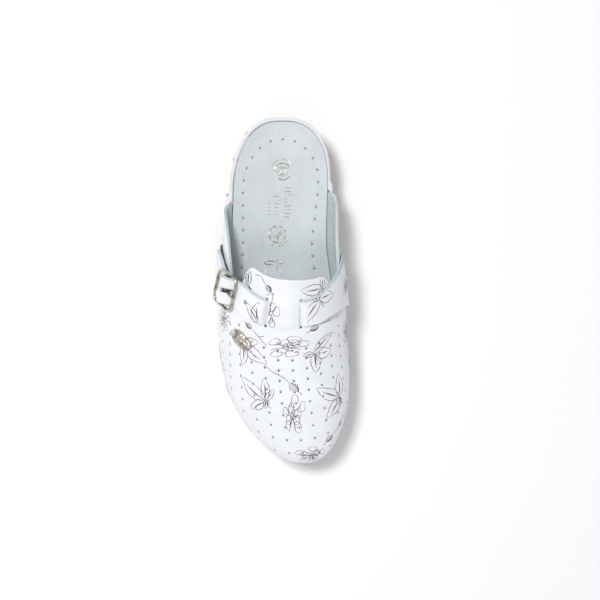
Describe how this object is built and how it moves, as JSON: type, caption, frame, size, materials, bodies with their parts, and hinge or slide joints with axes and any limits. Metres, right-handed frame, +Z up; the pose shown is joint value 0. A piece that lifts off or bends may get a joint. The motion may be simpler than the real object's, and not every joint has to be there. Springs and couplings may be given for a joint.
{
  "type": "wooden clog",
  "caption": "Right-foot slip-on clog: wooden sole with rubber treads, nailed closed leather upper, cushioned footbed and an instep strap to a centre-bar buckle.",
  "frame": {"origin": "on the ground under the middle of the clog", "axes": "+Z up, -Y towards the toe, +X towards the wearer's inner side"},
  "size_m": [0.1023, 0.255, 0.0931],
  "materials": {
    "wood": "oiled",
    "tread_rubber": "matte",
    "foam": "matte",
    "insole_leather": "matte pigskin grain",
    "printed_leather": "smooth, satin, printed line flowers, punched",
    "strap_leather": "smooth, satin",
    "welt_leather": "smooth",
    "elastic": "woven",
    "buckle_metal": "antique nickel",
    "badge_metal": "antique bronze",
    "plain_steel": "plain",
    "nail_steel": "plain"
  },
  "bodies": {
    "clog_body": {"badge_backplate": "plain_steel", "elastic_tape": "elastic", "footbed_pad": "foam", "forepart_tread": "tread_rubber", "heel_tread": "tread_rubber", "insole_cover": "insole_leather", "instep_strap": "strap_leather", "oval_badge": "badge_metal", "tread_nail_01": "nail_steel", "tread_nail_02": "nail_steel", "tread_nail_03": "nail_steel", "tread_nail_04": "nail_steel", "tread_nail_05": "nail_steel", "tread_nail_06": "nail_steel", "tread_nail_07": "nail_steel", "tread_nail_08": "nail_steel", "upper": "printed_leather", "welt": "welt_leather", "welt_nail_01": "nail_steel", "welt_nail_02": "nail_steel", "welt_nail_03": "nail_steel", "welt_nail_04": "nail_steel", "welt_nail_05": "nail_steel", "welt_nail_06": "nail_steel", "welt_nail_07": "nail_steel", "welt_nail_08": "nail_steel", "welt_nail_09": "nail_steel", "welt_nail_10": "nail_steel", "welt_nail_11": "nail_steel", "welt_nail_12": "nail_steel", "welt_nail_13": "nail_steel", "welt_nail_14": "nail_steel", "welt_nail_15": "nail_steel", "welt_nail_16": "nail_steel", "welt_nail_17": "nail_steel", "welt_nail_18": "nail_steel", "welt_nail_19": "nail_steel", "welt_nail_20": "nail_steel", "welt_nail_21": "nail_steel", "welt_nail_22": "nail_steel", "wooden_sole": "wood"},
    "buckle": {"buckle_frame": "buckle_metal"},
    "prong": {"buckle_prong": "buckle_metal"}
  },
  "joints": [
    {"name": "buckle_rock", "type": "hinge", "parent": "clog_body", "child": "buckle", "pos_m": [-0.04238, 0.00047, 0.06743], "axis": [-0.1812, -0.8702, -0.4581], "range_deg": [-3.5, 3.5]},
    {"name": "prong_swing", "type": "hinge", "parent": "buckle", "child": "prong", "pos_m": [-0.04238, 0.00047, 0.06743], "axis": [-0.1812, -0.8702, -0.4581], "range_deg": [0, 30]}
  ]
}
